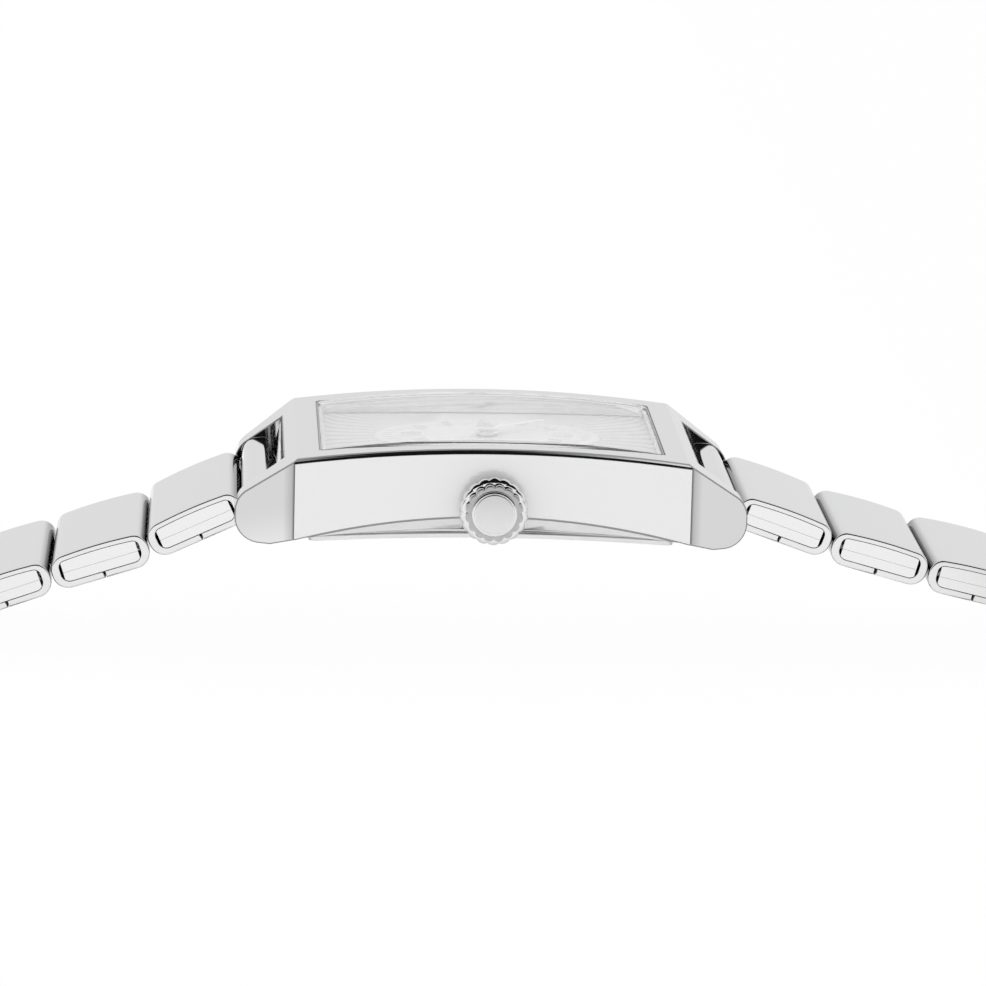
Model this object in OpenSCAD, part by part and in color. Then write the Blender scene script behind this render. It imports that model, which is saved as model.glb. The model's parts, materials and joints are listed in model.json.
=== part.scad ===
// Rectangular dress watch on a bracelet of folded steel links, lying open with the dial up.
// X points to 3 o'clock and the crown, Y to 12 o'clock and Z out of the dial.
// The origin is the middle of the flat panel on the case back. Sizes are in millimetres.

/* [Case] */
// Width of the case across its flanks, without the crown
case_w = 28; // [27:0.5:31]
// Length of the case between its upright corner edges
case_l = 34.6; // [34:0.2:38]
// Height of the top at its middle above the case back's flat panel
case_h = 8.94; // [8.9:0.02:9.6]
// Radius of the lengthwise curve of the top
dome_r = 132; // [120:1:200]
// Height and width of the polished bevel along the top edges
top_bevel = 0.3; // [0.15:0.05:0.4]
// Height of the scallop under each flank at its middle
arch_h = 2.9; // [2.7:0.05:3.1]
// Radius of the scallop under each flank
arch_r = 66; // [60:1:75]
// Drop of the scallop's slanting face from the flank in to the case middle
arch_drop = 1.4; // [1:0.05:1.5]
// Thickness of each flank outside the case middle
flank_t = 2; // [1.8:0.1:2.2]

/* [Lugs] */
// Length over the lug tips
lug_span = 45; // [44.6:0.1:45.6]
// Width over the lugs at their tips
lug_tip_w = 23.43; // [23:0.01:24]
// Height of the lug tops at their tips, before these are rounded
lug_tip_h = 3.93; // [3.7:0.01:4.1]
// Height of the lug top at the case corner
lug_shoulder = 7.68; // [7.6:0.02:7.8]
// Radius where the lug top turns down to the tip
lug_top_r = 2.4; // [1.8:0.1:2.5]
// Radius of the lower corner of the tip
lug_low_r = 2.1; // [1.5:0.1:2.2]
// Gap between the two lugs of one end
lug_gap = 18.5; // [18.4:0.05:18.8]
// Wall between the case corner line and the gap between the lugs
gap_wall = 0.95; // [0.9:0.05:1.05]

/* [Crystal] */
// Width of the crystal opening
opening_w = 22.3; // [22:0.1:22.6]
// Length of the crystal opening
opening_l = 30.3; // [30:0.1:30.6]
// Thickness of the crystal at its middle
crystal_t = 1.5; // [1.3:0.05:1.6]
// How far the crystal's middle stands above the metal
crystal_proud = 0.25; // [0.1:0.05:0.3]
// Width of the lip that the crystal rests on
seat_lip = 0.7; // [0.5:0.05:0.8]
// Thickness of the gasket round the crystal
gasket_t = 0.16; // [0.1:0.02:0.2]

/* [Dial and hands] */
// Height of the dial's upper face
dial_z = 6.1; // [6.06:0.01:6.14]
// Thickness of the dial
dial_t = 0.4; // [0.3:0.05:0.4]
// Length of the smooth oval in the middle of the dial
oval_l = 19.8; // [19:0.1:22]
// Width of the smooth oval
oval_w = 13.4; // [12.6:0.1:14]
// Height of the oval above the dial
oval_t = 0.08; // [0.05:0.01:0.12]
// Height of the applied hour bars
marker_t = 0.22; // [0.12:0.02:0.25]
// Reach of the minute hand from the centre
minute_reach = 6.5; // [5.8:0.1:7.4]
// Reach of the hour hand from the centre
hour_reach = 4.7; // [4:0.1:5.4]
// Thickness of each hand
hand_t = 0.12; // [0.08:0.01:0.16]
// Angle that the minute hand shows, clockwise from 12, in degrees
minute_angle = 322.5; // [0:0.5:359.5]
// Angle that the hour hand shows, clockwise from 12, in degrees
hour_angle = 266.9; // [0:0.1:359.9]

/* [Case back] */
// Length of the case back plate
back_l = 32.1; // [31.6:0.1:32.4]
// Radius of the plate's lengthwise curve
back_r = 240; // [220:1:400]
// Height of the plate's lower face at its middle
back_rise = 0.65; // [0.6:0.01:0.7]
// Thickness of the plate's upright rim
back_t = 0.42; // [0.35:0.01:0.5]
// Thickness of the narrower step above the rim
back_step_t = 0.31; // [0.25:0.01:0.35]
// Length and width of the flat panel in the middle
panel_l = 20; // [16:0.5:22]
panel_w = 15; // [12:0.5:17]

/* [Movement] */
// Length of the movement
move_l = 17.8; // [17.4:0.1:18.6]
// Width of the movement
move_w = 15.2; // [15:0.1:15.6]
// Lower face of the main plate
plate_z = 3; // [2.95:0.01:3.05]
// Thickness of the main plate
plate_t = 1.8; // [1.75:0.01:1.85]
// Distance between the hands' axis and the minute wheel's axis
train_reach = 3; // [2.96:0.01:3.04]
// Radius of the battery
battery_r = 3.4; // [2.9:0.05:3.45]
// Height of the battery
battery_t = 1.9; // [1.6:0.05:1.95]

/* [Crown] */
// Height of the crown's axis
crown_z = 3.8; // [3.75:0.01:3.85]
// Diameter of the knurled flange
crown_d = 6.06; // [5.8:0.02:6.4]
// Diameter of the scalloped tier
scallop_d = 5.1; // [4.9:0.02:5.5]
// Diameter of the smooth cap
cap_d = 3.96; // [3.6:0.02:4.2]
// Gap between the pushed-in crown and the flank
crown_gap = 0.3; // [0.25:0.05:0.5]
// Length of the crown's neck, behind the flange
neck_t = 0.75; // [0.6:0.05:0.85]
// Thickness of the flange
flange_t = 0.7; // [0.6:0.05:0.9]
// Thickness of the scalloped tier
tier_t = 0.75; // [0.7:0.05:1]
// Thickness of the cap
cap_t = 0.4; // [0.35:0.01:0.5]
// Radius of the winding stem
stem_r = 0.45; // [0.4:0.01:0.46]
// Travel of the crown to its hand-setting place
crown_travel = 0.9; // [0.7:0.05:1]

/* [Bracelet] */
// Width of every link
link_w = 18; // [17.6:0.1:18.1]
// Distance from one link's pin to the next
link_pitch = 9.03; // [8.9:0.01:9.3]
// Gap between two links
link_gap = 0.18; // [0.16:0.01:0.24]
// Radius of a link's ends, which is the pin's place in from each end
end_r = 1.45; // [1.4:0.01:1.5]
// Height of a link's top at its middle above the pin
link_top = 1.7; // [1.6:0.01:1.75]
// Radius of the lengthwise curve of a link's top
link_top_r = 42; // [36:1:80]
// Wall at the top of a link
wall_top = 0.5; // [0.45:0.01:0.55]
// Wall at the bottom of a link
wall_low = 0.6; // [0.55:0.01:0.65]
// Wall at the two ends of a link
wall_end = 0.75; // [0.72:0.01:0.85]
// Place of the seam along a link's underside, from its pin
seam_s = 2.85; // [2:0.05:3.5]
// Width of the seam
seam_w = 0.1; // [0.04:0.02:0.14]
// Radius of the cross pins
pin_r = 0.36; // [0.32:0.01:0.38]
// Width of the tongue between two links
tongue_w = 10; // [8:0.1:10.4]
// Slopes of the links of the 12 o'clock half, from the case outwards, in degrees
slopes_12 = [19.4, 15.3, 13, 12.6, 11.4];
// Slopes of the links of the 6 o'clock half
slopes_6 = [24.9, 17.6, 19.4, 10.8, 3.9];
// Depth of the last pins below the case back, when the clasp lies on the table
rest_depth = 9.95; // [9.6:0.05:10.4]
// Tilt of the end link of the 6 o'clock half, in degrees
end_tilt_6 = 4.5; // [0:0.5:5]

/* [Clasp] */
// Length of the clasp base from its pin
base_l = 22.4; // [20:0.1:23]
// Width of the clasp base
base_w = 15; // [14:0.1:15.2]
// Thickness of the clasp's plates
clasp_t = 0.8; // [0.6:0.05:0.9]
// Length of the catch from its pin
catch_l = 9.3; // [9:0.1:9.6]
// Width of the catch
catch_w = 12; // [11:0.1:12.6]

/* [Hidden] */
$fn = 96;
big_fn = 720;        // for radii over 50 mm
eps = 0.01;          // how far a cut passes a face
fit = 0.02;          // between fixed pieces
run = 0.04;          // round a turning pin or shaft
side_gap = 0.2;      // beside a turning piece
far = 40;            // reaches past the whole case
body_side = case_w / 2;
corner_y = case_l / 2;
tip_y = lug_span / 2;
gap_y = corner_y + gap_wall;
block_w = case_w - 2 * flank_t;

// The spring bars, in from the lug tips
bar_in = 2.75;
bar_y = tip_y - bar_in;
bar_z = 2.7;
bar_r = 0.75;
bar_tip_r = 0.4;
bar_tip = 1.1;

// Space inside the case middle, under the crystal lip
inner_w = opening_w - 0.5;
inner_l = opening_l - 0.8;
lip_z = dial_z + 0.05;
seat_r = dome_r - (crystal_t - crystal_proud);
lip_w = opening_w - 2 * seat_lip;
lip_l = opening_l - 2 * seat_lip;
crystal_r = dome_r * 0.77;
glass_w = opening_w - 2 * gasket_t - 2 * fit;
glass_l = opening_l - 2 * gasket_t - 2 * fit;

// Case back
back_w = block_w;
back_low_z = back_rise - back_r;
step_in = 0.3;
block_r = back_r + back_t + back_step_t + fit;
snap_t = 0.7;
snap_top = 2.2;

// Movement
plate_top = plate_z + plate_t;
ring_low = 2.3;
post_r = 0.22;
cannon_r = 0.42;
hour_tube_r = 0.72;
cannon_teeth = 12;
minute_teeth = 36;
pinion_teeth = 10;
hour_teeth = 40;
wheel_t = 0.2;
train_z = plate_top + 0.16;
train_turn = 135;
train_xy = train_reach * [cos(train_turn), sin(train_turn)];
hour_wheel_z = train_z + 0.36;
hour_hand_z = dial_z + 0.4;
minute_hand_z = hour_hand_z + 0.35;
battery_xy = [-move_w / 2 + battery_r + 0.4, -move_l / 2 + battery_r + 0.4];
battery_z = 1.9;
lever_x = 5.2;
lever_arm = 3;
lever_z = crown_z + 0.5;
groove_r = 0.22;

// Crown stack, from the flank outwards
neck_x = body_side + crown_gap;
flange_x = neck_x + neck_t;
tier_x = flange_x + flange_t;
cap_x = tier_x + tier_t;
crown_end = cap_x + cap_t;
neck_d = scallop_d - 0.2;
disc_d = cap_d - 0.66;
disc_depth = 0.05;
cap_round = 0.3;
flange_teeth = 18;
tooth_depth = 0.17;
lobes = 16;
lobe_depth = 0.26;
tube_r = 0.95;
tube_x = inner_w / 2 + 0.4;
tube_end = neck_x + 1.3;
seal_r = 1.45;
seal_end = neck_x + 1.6;
stem_end = seal_end + 0.35;

// Bracelet
link_l = link_pitch - link_gap;
link_mid = link_l / 2 - end_r;
link_far = link_l - end_r;
floor_t = -end_r;
top_corner_r = 1.3;
tongue_t = 0.56;
eye_r = 0.72;
slot_w = tongue_w + 0.5;
core_cut = 0.25;     // from a link's inner end wall to its strips
strip_joint = 0.05;  // height where the two strips meet
strip_gap = 0.01;    // each side of that
link1_out = 3.45;    // from a spring bar to the first link's pin
link1_drop = 0.45;
link1 = [bar_y + link1_out, bar_z - link1_drop];
end_tongue_l = 2.1;
end_tongue_turn = 20;
end_in = 0.45;       // the end link's faces, from the spring bar
end_out = 2.1;
end_top = 2.3;
end_in_r = 0.45;
end_out_r = 1.4;
end_lip = 1.5;       // height of its outer face
link_count = 6;
steel = [0.86, 0.86, 0.87];
polished = [0.93, 0.93, 0.94];

// Outlines

function unit(v) = v / norm(v);

// Points of the arc that rounds corner p, between its neighbours a and b
function corner(a, p, b, r, n) =
    r <= 0 ? [p] :
    let (u = unit(a - p), v = unit(b - p), half = acos(u * v) / 2,
         c = p + unit(u + v) * r / sin(half),
         s = p + u * r / tan(half) - c,
         e = p + v * r / tan(half) - c,
         turn = sign(s[0] * e[1] - s[1] * e[0]) * (180 - 2 * half),
         a0 = atan2(s[1], s[0]))
    [for (i = [0:n]) c + r * [cos(a0 + turn * i / n), sin(a0 + turn * i / n)]];

// A closed outline p with each corner rounded by its own radius in r
function rounded(p, r, n = 8) =
    [for (i = [0:len(p) - 1])
        each corner(p[(i + len(p) - 1) % len(p)], p[i], p[(i + 1) % len(p)], r[i], n)];

// A rectangle w by l about the middle, with corners of radius r
function rect(w, l, r) =
    rounded([[-w / 2, -l / 2], [w / 2, -l / 2], [w / 2, l / 2], [-w / 2, l / 2]], [r, r, r, r], 6);

module pad(w, l, z0, z1, r = 0.3)
    translate([0, 0, z0]) linear_extrude(z1 - z0) polygon(rect(w, l, r));

// Extrudes an outline drawn in Y and Z across the watch, w wide
module across(w, x = 0)
    translate([x, 0, 0]) rotate([90, 0, 90]) linear_extrude(w, center = true) children();

// A round bar along X
module bar_x(r, x0, x1)
    translate([x0, 0, 0]) rotate([0, 90, 0]) cylinder(r = r, h = x1 - x0);

// A slab curved along Y, between two radii about one centre line
module curved(r0, r1, z_mid, w = far)
    translate([0, 0, z_mid]) rotate([0, 90, 0]) difference() {
        cylinder(r = r1, h = w, center = true, $fn = big_fn);
        cylinder(r = r0, h = w + 1, center = true, $fn = big_fn);
    }

// Case

function lug_top(y) =
    lug_shoulder - (y - corner_y) * (lug_shoulder - lug_tip_h) / (tip_y - corner_y);

// The outline from the side: lug tops, tips and undersides
module side_outline() {
    half = rounded([[0, lug_top(corner_y - 6)], [corner_y - 6, lug_top(corner_y - 6)],
                    [tip_y, lug_top(tip_y)], [tip_y, 0.03], [bar_y - 0.35, 0.03],
                    [corner_y, 0.62], [0, 0.62]],
                   [0, 0, lug_top_r, lug_low_r, 0, 0, 0], 14);
    n = len(half);
    polygon(concat([for (i = [1:n - 2]) half[i]],
                   [for (i = [1:n - 2]) [-half[n - 1 - i][0], half[n - 1 - i][1]]]));
}

module plan_outline() {
    tip_x = lug_tip_w / 2;
    polygon([for (q = [[1, 1], [-1, 1], [-1, -1], [1, -1]])
        let (side = [q[0] * body_side, q[1] * corner_y], tip = [q[0] * tip_x, q[1] * tip_y])
            each (q[0] * q[1] > 0 ? [side, tip] : [tip, side])]);
}

// The whole top, curved lengthwise, with a bevel along each long edge
module dome() {
    s = body_side;
    translate([0, 0, case_h - dome_r]) rotate([0, 90, 0]) rotate_extrude($fn = big_fn)
        polygon([[0, -s - 1], [dome_r - top_bevel - 1, -s - 1], [dome_r - top_bevel, -s],
                 [dome_r, -s + top_bevel], [dome_r, s - top_bevel],
                 [dome_r - top_bevel, s], [dome_r - top_bevel - 1, s + 1], [0, s + 1]]);
}

module case_body() color(polished) difference() {
    intersection() {
        across(case_w + 2) side_outline();
        translate([0, 0, -1]) linear_extrude(case_h + 2) plan_outline();
        dome();
    }
    // Scallops under the flanks, with a face that slants in to the case middle
    for (s = [-1, 1]) translate([s * block_w / 2, 0, 0]) rotate([0, s * 90, 0]) {
        deep = flank_t + 1;
        translate([s * (arch_r - arch_h), 0, 0])
            cylinder(r1 = arch_r - arch_drop, r2 = arch_r + arch_drop / flank_t, h = deep, $fn = big_fn);
        // and open beside the rim of the case back
        intersection() {
            translate([s * (arch_r - arch_h), 0, 0]) cylinder(r = arch_r, h = deep, $fn = big_fn);
            translate([-s * back_low_z, 0, 0]) cylinder(r = block_r, h = deep, $fn = big_fn);
        }
    }
    // Underside of the middle, where the case back seats
    intersection() {
        pad(block_w, back_l + 2 * fit, -1, 3, 0.1);
        translate([0, 0, back_low_z]) rotate([0, 90, 0])
            cylinder(r = block_r, h = block_w, center = true, $fn = big_fn);
    }
    // Seat of the crystal, down to a lip with the crystal's own curve
    difference() {
        pad(opening_w, opening_l, 5, case_h + 1, 0.35);
        translate([0, 0, case_h - dome_r]) rotate([0, 90, 0])
            cylinder(r = seat_r, h = far, center = true, $fn = big_fn);
    }
    pad(lip_w, lip_l, lip_z - eps, case_h + 1, 0.3);
    pad(inner_w, inner_l, -1, lip_z, 0.4);
    for (s = [-1, 1]) {
        translate([-lug_gap / 2, s > 0 ? gap_y : -gap_y - 10, -1]) cube([lug_gap, 10, case_h + 2]);
        translate([0, s * bar_y, bar_z])
            bar_x(bar_tip_r + fit, -lug_gap / 2 - bar_tip - 0.1, lug_gap / 2 + bar_tip + 0.1);
    }
    translate([0, 0, crown_z]) bar_x(tube_r + fit, 0, body_side + 1);
}

module crystal() color([0.9, 0.95, 1, 0.35]) intersection() {
    pad(glass_w, glass_l, 5, case_h + 1, 0.3);
    curved(seat_r + fit, far * 10, case_h - dome_r);
    translate([0, 0, case_h + crystal_proud - crystal_r]) rotate([0, 90, 0])
        cylinder(r = crystal_r, h = far, center = true, $fn = big_fn);
}

module crystal_gasket() color([0.75, 0.75, 0.75]) intersection() {
    difference() {
        pad(opening_w - 2 * fit, opening_l - 2 * fit, 5, case_h + 1, 0.33);
        pad(glass_w + fit, glass_l + fit, 4, case_h + 2, 0.3);
    }
    curved(seat_r + fit, dome_r - 0.1, case_h - dome_r);
}

// Dial side

module dial() color([0.93, 0.93, 0.92]) {
    difference() {
        union() {
            pad(inner_w - 0.2, inner_l - 0.2, dial_z - dial_t, dial_z, 0.3);
            intersection() {
                translate([0, 0, dial_z - eps]) linear_extrude(oval_t + eps)
                    polygon([for (a = [0:5:355]) [oval_w / 2 * cos(a), oval_l / 2 * sin(a)]]);
                pad(lip_w - 0.1, lip_l - 0.1, 5, 8, 0.3);
            }
        }
        translate([0, 0, 5]) cylinder(r = hour_tube_r + 0.13, h = 3);
    }
    for (s = [-1, 1])
        translate([s * (move_w / 2 - 1), s * (move_l / 2 - 1), dial_z - dial_t - 2.1])
            cylinder(r = 0.35, h = 2.15);
}

// One bar for each hour, longer at 12, 3, 6 and 9, set on an ellipse inside the oval
module hour_markers() color([0.8, 0.8, 0.82])
    for (h = [0:11]) {
        a = 90 - 30 * h;
        long = h % 3 == 0;
        reach = [oval_w / 2 * 0.78 * cos(a), oval_l / 2 * 0.67 * sin(a)];
        translate([reach[0], reach[1], dial_z + oval_t]) rotate([0, 0, a])
            translate([long ? -0.9 : -0.5, long ? -0.3 : -0.22, 0])
                cube([long ? 1.8 : 1.1, long ? 0.6 : 0.44, marker_t]);
    }

// A flat hand with a hub and a bore, widest one third of the way out
module hand(reach, tail, w, hub_r, bore_r, turn)
    rotate([0, 0, -turn]) linear_extrude(hand_t) difference() {
        union() {
            circle(hub_r);
            polygon([[-w * 0.28, -tail], [w * 0.28, -tail], [w / 2, reach * 0.4],
                     [w * 0.36, reach * 0.93], [0, reach], [-w * 0.36, reach * 0.93],
                     [-w / 2, reach * 0.4]]);
        }
        circle(bore_r);
    }

module hour_hand() color([0.75, 0.76, 0.78])
    translate([0, 0, hour_hand_z]) hand(hour_reach, 1.4, 1.1, 1.1, hour_tube_r + fit, hour_angle);

module minute_hand() color([0.75, 0.76, 0.78])
    translate([0, 0, minute_hand_z])
        hand(minute_reach, 1.7, 0.85, 0.8, cannon_r + fit, minute_angle);

// Motion work

// A wheel with n slim teeth, pitch radius r; a whole tooth points along X turned by phase
module teeth(n, r, phase = 0) {
    m = 2 * r / n;
    tip = r + 0.75 * m;
    root = r - 1.15 * m;
    step = 360 / n;
    polygon([for (i = [0:n - 1], q = [[root, -0.3], [tip, -0.09], [tip, 0.09], [root, 0.3]])
        let (a = phase + step * (i + q[1])) q[0] * [cos(a), sin(a)]]);
}

cannon_pitch = train_reach * cannon_teeth / (cannon_teeth + minute_teeth);
pinion_pitch = train_reach * pinion_teeth / (pinion_teeth + hour_teeth);

module cannon_pinion() color("goldenrod") difference() {
    union() {
        translate([0, 0, train_z - 0.04]) linear_extrude(wheel_t + 0.1)
            teeth(cannon_teeth, cannon_pitch, train_turn);
        translate([0, 0, train_z - 0.04])
            cylinder(r = cannon_r, h = minute_hand_z + hand_t - train_z + 0.08);
    }
    translate([0, 0, train_z - 1]) cylinder(r = post_r + run, h = 5);
}

module minute_wheel() color("goldenrod") translate(train_xy) difference() {
    union() {
        translate([0, 0, train_z]) linear_extrude(wheel_t)
            teeth(minute_teeth, train_reach - cannon_pitch, train_turn + 180 + 180 / minute_teeth);
        translate([0, 0, train_z]) linear_extrude(hour_wheel_z + wheel_t + 0.04 - train_z)
            teeth(pinion_teeth, pinion_pitch, train_turn + 180);
    }
    translate([0, 0, train_z - 1]) cylinder(r = post_r + run, h = 3);
}

module hour_wheel() color("goldenrod") difference() {
    union() {
        translate([0, 0, hour_wheel_z]) linear_extrude(wheel_t)
            teeth(hour_teeth, train_reach - pinion_pitch, train_turn + 180 / hour_teeth);
        translate([0, 0, hour_wheel_z])
            cylinder(r = hour_tube_r, h = hour_hand_z + hand_t - hour_wheel_z);
    }
    translate([0, 0, hour_wheel_z - 1]) cylinder(r = cannon_r + run, h = 4);
}

// Movement

module movement_ring() color([0.9, 0.9, 0.88]) difference() {
    pad(inner_w - 0.2, inner_l - 0.2, ring_low, dial_z - dial_t - 0.1, 0.3);
    pad(move_w + 0.1, move_l + 0.1, 0, 9, 0.2);
    translate([0, 0, crown_z]) bar_x(0.7, 0, far);
}

module main_plate() color([0.8, 0.76, 0.6]) {
    difference() {
        pad(move_w, move_l, plate_z, plate_top, 0.2);
        translate([0, 0, crown_z]) bar_x(stem_r + 0.15, 1, far);
        translate([2.3, -0.95, plate_z - 1]) cube([1.4, 1.9, 2.65]);
        translate([lever_x - 0.6, -lever_arm - 0.6, lever_z - 0.1]) cube([2.1, lever_arm + 1.2, 3]);
        translate([lever_x, -lever_arm, 2]) cylinder(r = 0.25, h = 5);
        translate([battery_xy[0], battery_xy[1], 0])
            cylinder(r = battery_r + 0.1, h = battery_z + battery_t + 0.1);
        for (s = [-1, 1])
            translate([s * (move_w / 2 - 1), s * (move_l / 2 - 1), 0]) cylinder(r = 0.4, h = 9);
    }
    translate([0, 0, plate_top - eps]) cylinder(r = post_r, h = minute_hand_z - plate_top);
    translate([train_xy[0], train_xy[1], plate_top - eps]) cylinder(r = post_r, h = 0.78);
}

module train_bridge() color([0.8, 0.76, 0.6]) {
    translate([0, 2.5, 0]) pad(14.2, 4.2, 1.7, 2, 0.8);
    for (x = [-6.3, 0, 6.3]) translate([x, 2.5, 1.99]) cylinder(r = 0.5, h = plate_z - 1.99);
}

module coil() color([0.72, 0.4, 0.2]) translate([0, move_l / 2 - 2.2, plate_z - 0.7]) {
    bar_x(0.65, -5, 2);
    for (x = [-5.3, 2]) bar_x(0.69, x - eps, x + 0.3);
    for (x = [-6.6, 2.3]) translate([x - eps, -0.5, 0.1]) cube([1.3, 1, 0.6]);
}

module circuit_board() color([0.2, 0.45, 0.25]) {
    translate([4.5, -4.7, 0]) pad(5.8, 7.2, plate_z - 0.4, plate_z, 0.2);
    translate([4, -3.5, plate_z - 0.9]) cylinder(r = 1, h = 0.52);
    translate([4.4, -6.6, plate_z - 0.9]) bar_x(0.6, -2, 2);
}

module battery() color([0.75, 0.75, 0.77]) translate([battery_xy[0], battery_xy[1], battery_z]) {
    cylinder(r = battery_r - 0.4, h = battery_t);
    translate([0, 0, 0.3]) cylinder(r = battery_r, h = battery_t - 0.3);
}

module battery_clamp() color([0.8, 0.8, 0.8])
    translate([0, battery_xy[1] - 1, 0]) {
        x0 = battery_xy[0] - battery_r;
        x1 = battery_xy[0] + battery_r + 0.25;
        translate([x0, 0, battery_z - 0.2]) cube([x1 + 0.6 - x0, 2, 0.18]);
        translate([x1, 0, battery_z - 0.2]) cube([0.6, 2, plate_z - battery_z + 0.2]);
    }

// The stem turns this pinion and slides through it
module setting_pinion() color("goldenrod") translate([2.5, 0, crown_z]) rotate([0, 90, 0]) difference() {
    linear_extrude(1) teeth(12, 0.68);
    translate([0, 0, -1]) cylinder(r = stem_r + run, h = 3);
}

// Turns on its own post, with a pin that sits in the stem's groove
module setting_lever() color([0.78, 0.78, 0.8]) translate([lever_x, -lever_arm, 0]) {
    translate([0, 0, lever_z]) linear_extrude(0.2) polygon(rounded(
        [[-0.4, -0.4], [0.4, -0.4], [0.28, lever_arm + 0.3], [-0.28, lever_arm + 0.3]],
        [0.3, 0.3, 0.2, 0.2], 6));
    translate([0, 0, plate_z + 0.4]) cylinder(r = 0.25 - run, h = lever_z - plate_z - 0.39);
    translate([0, lever_arm, crown_z + groove_r + 0.04])
        cylinder(r = 0.17, h = lever_z - crown_z - groove_r);
}

module stem() color([0.7, 0.7, 0.72]) translate([0, 0, crown_z]) difference() {
    bar_x(stem_r, 1.4, stem_end);
    difference() {
        bar_x(1, lever_x - 0.25, lever_x + 0.25);
        bar_x(groove_r, 0, far);
    }
}

// Crown

// A wavy round outline: n hollows of the given depth
function wavy(r, n, depth, k = 6) =
    [for (i = [0:n * k - 1]) let (a = i * 360 / (n * k), w = pow(abs(sin(n * a / 2)), 0.6))
        (r - depth * (1 - w)) * [cos(a), sin(a)]];

module crown() color(polished) translate([0, 0, crown_z]) rotate([0, 90, 0]) difference() {
    union() {
        translate([0, 0, neck_x]) cylinder(d = neck_d, h = neck_t + eps);
        translate([0, 0, flange_x]) linear_extrude(flange_t)
            polygon(wavy(crown_d / 2, flange_teeth, tooth_depth, 8));
        translate([0, 0, tier_x - eps]) linear_extrude(tier_t + eps)
            polygon(wavy(scallop_d / 2, lobes, lobe_depth, 8));
        rotate_extrude() polygon(rounded(
            [[0, cap_x - eps], [cap_d / 2, cap_x - eps], [cap_d / 2, crown_end], [0, crown_end]],
            [0, 0, cap_round, 0], 8));
    }
    translate([0, 0, body_side]) cylinder(r = seal_r, h = seal_end - body_side);
    translate([0, 0, body_side]) cylinder(r = stem_r + fit, h = stem_end - body_side);
    translate([0, 0, crown_end - disc_depth]) cylinder(d = disc_d, h = 1);
}

module crown_gasket() color([0.1, 0.1, 0.1]) translate([0, 0, crown_z]) difference() {
    bar_x(seal_r - fit, neck_x + 0.1, neck_x + 0.5);
    bar_x(tube_r + run, 0, far);
}

module crown_tube() color([0.7, 0.7, 0.7]) translate([0, 0, crown_z]) difference() {
    bar_x(tube_r, tube_x, tube_end);
    bar_x(stem_r + 0.1, 0, far);
}

// Case back

module case_back() color(steel) difference() {
    union() {
        intersection() {
            pad(back_w, back_l, -1, 3, 0.9);
            curved(back_r, back_r + back_t, back_low_z);
        }
        intersection() {
            pad(back_w - 2 * step_in, back_l - 2 * step_in, -1, 3, 0.8);
            curved(back_r + back_t - eps, back_r + back_t + back_step_t, back_low_z);
        }
        pad(panel_w, panel_l, 0, back_rise + 0.3, 1.5);
        difference() {
            pad(inner_w - 2 * fit, inner_l - 2 * fit, back_rise, snap_top, 0.35);
            pad(inner_w - 2 * snap_t, inner_l - 2 * snap_t, 0, snap_top + 1, 0.3);
            // nothing of the rim under the curved plate
            translate([0, 0, back_low_z]) rotate([0, 90, 0])
                cylinder(r = back_r + back_t, h = far, center = true, $fn = big_fn);
        }
    }
    back_gasket_space(0);
}

module back_gasket_space(shrink)
    intersection() {
        difference() {
            pad(inner_w + 1.2 - shrink, inner_l + 0.6 - shrink, -1, 4, 0.5);
            pad(inner_w + 0.4 + shrink, inner_l + 0.15 + shrink, -2, 5, 0.4);
        }
        curved(back_r + back_t + 0.05, back_r + back_t + back_step_t + (shrink > 0 ? 0 : 1), back_low_z);
    }

module case_back_gasket() color([0.12, 0.12, 0.12]) back_gasket_space(0.04);

// Bracelet

module spring_bar() color(steel) translate([0, bar_y, bar_z]) {
    bar_x(bar_r, -lug_gap / 2 + 0.1, lug_gap / 2 - 0.1);
    bar_x(bar_tip_r, -lug_gap / 2 - bar_tip, lug_gap / 2 + bar_tip);
}

// Puts a piece on the 12 o'clock half, or turned round on the 6 o'clock half
module on_half(half) rotate([0, 0, half == 12 ? 0 : 180]) children();

// The pin of link i of a half, counted from 0, in Y and Z of the 12 o'clock side
function turn_yz(p, a) = [p[0] * cos(a) + p[1] * sin(a), -p[0] * sin(a) + p[1] * cos(a)];
function end_tilt(half) = half == 12 ? 0 : end_tilt_6;
// The last link's slope brings its outer pin down to the resting depth
function slope(half, i) =
    i < link_count - 1 ? (half == 12 ? slopes_12 : slopes_6)[i]
                       : asin((pin_at(half, i)[1] + rest_depth) / link_pitch);
function pin_at(half, i) =
    i == 0 ? [bar_y, bar_z] + turn_yz(link1 - [bar_y, bar_z], end_tilt(half))
           : pin_at(half, i - 1) + link_pitch * [cos(slope(half, i - 1)), -sin(slope(half, i - 1))];

module at_pin(half, i, down = 0)
    on_half(half) translate([0, pin_at(half, i)[0], pin_at(half, i)[1]])
        rotate([-down, 0, 0]) children();

// The tongue that reaches from a link to the next pin, at [s, t] in the link's own frame
module tongue(s, t, length, turn = 0)
    translate([0, s, t]) rotate([-turn, 0, 0]) difference() {
        union() {
            translate([-tongue_w / 2, -length, -tongue_t / 2]) cube([tongue_w, length, tongue_t]);
            bar_x(eye_r, -tongue_w / 2, tongue_w / 2);
        }
        bar_x(pin_r + run, -far, far);
    }

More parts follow.
